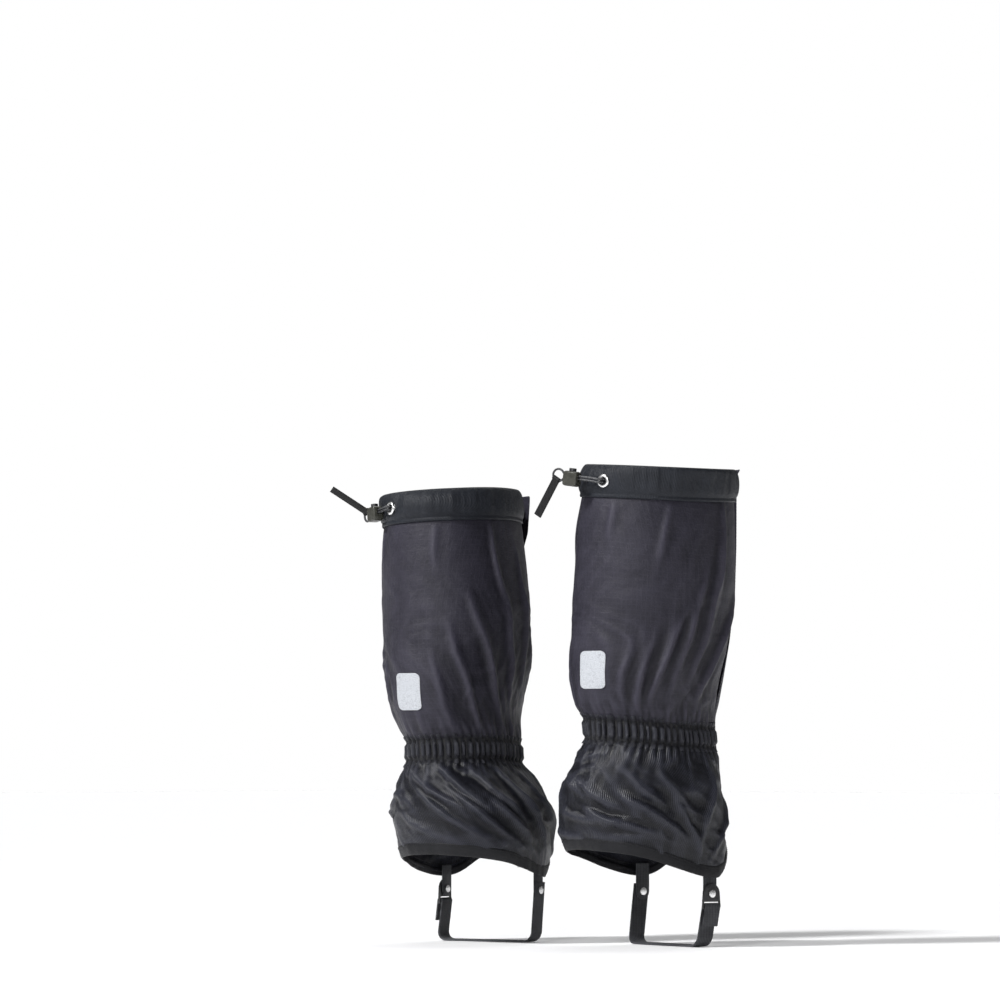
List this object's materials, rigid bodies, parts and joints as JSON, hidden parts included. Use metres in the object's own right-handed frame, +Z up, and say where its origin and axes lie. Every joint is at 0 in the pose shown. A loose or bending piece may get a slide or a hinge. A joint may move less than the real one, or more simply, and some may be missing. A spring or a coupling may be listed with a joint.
{
  "type": "hiking gaiters",
  "caption": "Pair of knee-high fabric leg gaiters with drawcord cuff, gathered ankle, front hook-and-loop flap, lace hook and instep strap.",
  "frame": {"origin": "on the ground, midway between the wearer's two legs", "axes": "+X towards the wearer's right, +Y forwards, +Z up the legs"},
  "size_m": [0.3794, 0.2439, 0.4766],
  "materials": {
    "ripstop": "charcoal ripstop nylon, plain weave with a fine square grid",
    "oxford": "near-black coated oxford nylon, coarse plain weave, slightly shiny",
    "cuff_cloth": "dark grey cuff cloth, plain weave",
    "binding": "black bound edge tape",
    "elastic": "black woven elastic",
    "tape": "black hook-and-loop tape",
    "reflective": "silver-grey reflective film",
    "cord": "black braided elastic cord",
    "steel": "nickel-plated, polished",
    "plastic": "moulded olive-black plastic, satin",
    "black_plastic": "moulded black plastic, satin",
    "webbing": "dark grey woven webbing"
  },
  "bodies": {
    "right_gaiter": {"right_calf_panel": "ripstop", "right_boot_skirt": "oxford", "right_hem_band": "binding", "right_ankle_casing": "oxford", "right_ankle_elastic": "elastic", "right_placket": "oxford", "right_loop_tape": "tape", "right_reflective_badge": "reflective", "right_top_cuff": "cuff_cloth", "right_eyelet": "steel", "right_eyelet_washer": "steel", "right_drawcord": "cord", "right_outer_anchor_tab": "webbing", "right_inner_anchor_tab": "webbing", "right_outer_rivet": "steel", "right_inner_rivet": "steel", "right_lace_hook_tab": "webbing"},
    "right_front_flap": {"right_front_flap": "ripstop", "right_hook_tape": "tape"},
    "right_cord_lock": {"right_lock_body": "plastic", "right_lock_spring": "steel"},
    "right_lock_button": {"right_lock_button": "plastic"},
    "right_pull_tab": {"right_pull_tab": "binding"},
    "right_instep_strap": {"right_instep_strap": "webbing", "right_strap_buckle": "black_plastic"},
    "right_lace_hook": {"right_lace_hook": "steel"},
    "left_gaiter": {"left_calf_panel": "ripstop", "left_boot_skirt": "oxford", "left_hem_band": "binding", "left_ankle_casing": "oxford", "left_ankle_elastic": "elastic", "left_placket": "oxford", "left_loop_tape": "tape", "left_reflective_badge": "reflective", "left_top_cuff": "cuff_cloth", "left_eyelet": "steel", "left_eyelet_washer": "steel", "left_drawcord": "cord", "left_outer_anchor_tab": "webbing", "left_inner_anchor_tab": "webbing", "left_outer_rivet": "steel", "left_inner_rivet": "steel", "left_lace_hook_tab": "webbing"},
    "left_front_flap": {"left_front_flap": "ripstop", "left_hook_tape": "tape"},
    "left_cord_lock": {"left_lock_body": "plastic", "left_lock_spring": "steel"},
    "left_lock_button": {"left_lock_button": "plastic"},
    "left_pull_tab": {"left_pull_tab": "binding"},
    "left_instep_strap": {"left_instep_strap": "webbing", "left_strap_buckle": "black_plastic"},
    "left_lace_hook": {"left_lace_hook": "steel"}
  },
  "joints": [
    {"name": "pair_spacing", "type": "slide", "parent": "right_gaiter", "child": "left_gaiter", "axis": [-1, 0, 0], "range_m": [0, 0.2]},
    {"name": "right_flap_hinge", "type": "hinge", "parent": "right_gaiter", "child": "right_front_flap", "pos_m": [0.16809, 0.08768, 0.47017], "axis": [-0.0748, 0.021, -0.997], "range_deg": [0, 100]},
    {"name": "right_lock_slide", "type": "slide", "parent": "right_gaiter", "child": "right_cord_lock", "axis": [-0.9735, -0.1817, 0.1392], "range_m": [-0.016, 0]},
    {"name": "right_lock_press", "type": "slide", "parent": "right_cord_lock", "child": "right_lock_button", "axis": [-0.1368, -0.0255, -0.9903], "range_m": [0, 0.0018], "stiffness_N_per_m": 250, "deforming": ["right_lock_spring"]},
    {"name": "right_tab_swing", "type": "hinge", "parent": "right_gaiter", "child": "right_pull_tab", "pos_m": [0.07461, -0.07847, 0.45826], "axis": [-0.8337, -0.1556, 0.5299], "range_deg": [-60, 60]},
    {"name": "right_strap_swing", "type": "hinge", "parent": "right_gaiter", "child": "right_instep_strap", "pos_m": [0.11225, 0.0608, 0.052], "axis": [0.9816, -0.1908, 0], "range_deg": [-70, 70]},
    {"name": "right_hook_swing", "type": "hinge", "parent": "right_gaiter", "child": "right_lace_hook", "pos_m": [0.10362, 0.10254, 0.0996], "axis": [0.9816, -0.1908, 0], "range_deg": [-20, 70]},
    {"name": "left_flap_hinge", "type": "hinge", "parent": "left_gaiter", "child": "left_front_flap", "pos_m": [-0.16809, 0.04068, 0.45017], "axis": [-0.0776, -0.0218, 0.9967], "range_deg": [0, 100]},
    {"name": "left_lock_slide", "type": "slide", "parent": "left_gaiter", "child": "left_cord_lock", "axis": [-0.9491, 0.2824, -0.1392], "range_m": [-0.002, 0]},
    {"name": "left_lock_press", "type": "slide", "parent": "left_cord_lock", "child": "left_lock_button", "axis": [0.1334, -0.0397, -0.9903], "range_m": [0, 0.0018], "stiffness_N_per_m": 250, "deforming": ["left_lock_spring"]},
    {"name": "left_tab_swing", "type": "hinge", "parent": "left_gaiter", "child": "left_pull_tab", "pos_m": [-0.16476, -0.10418, 0.43293], "axis": [0.8128, -0.2419, 0.5299], "range_deg": [-90, 10]},
    {"name": "left_strap_swing", "type": "hinge", "parent": "left_gaiter", "child": "left_instep_strap", "pos_m": [-0.11225, 0.0138, 0.052], "axis": [0.9816, 0.1908, 0], "range_deg": [-70, 70]},
    {"name": "left_hook_swing", "type": "hinge", "parent": "left_gaiter", "child": "left_lace_hook", "pos_m": [-0.10365, 0.05568, 0.09188], "axis": [0.9816, 0.1908, 0], "range_deg": [-20, 70]}
  ]
}
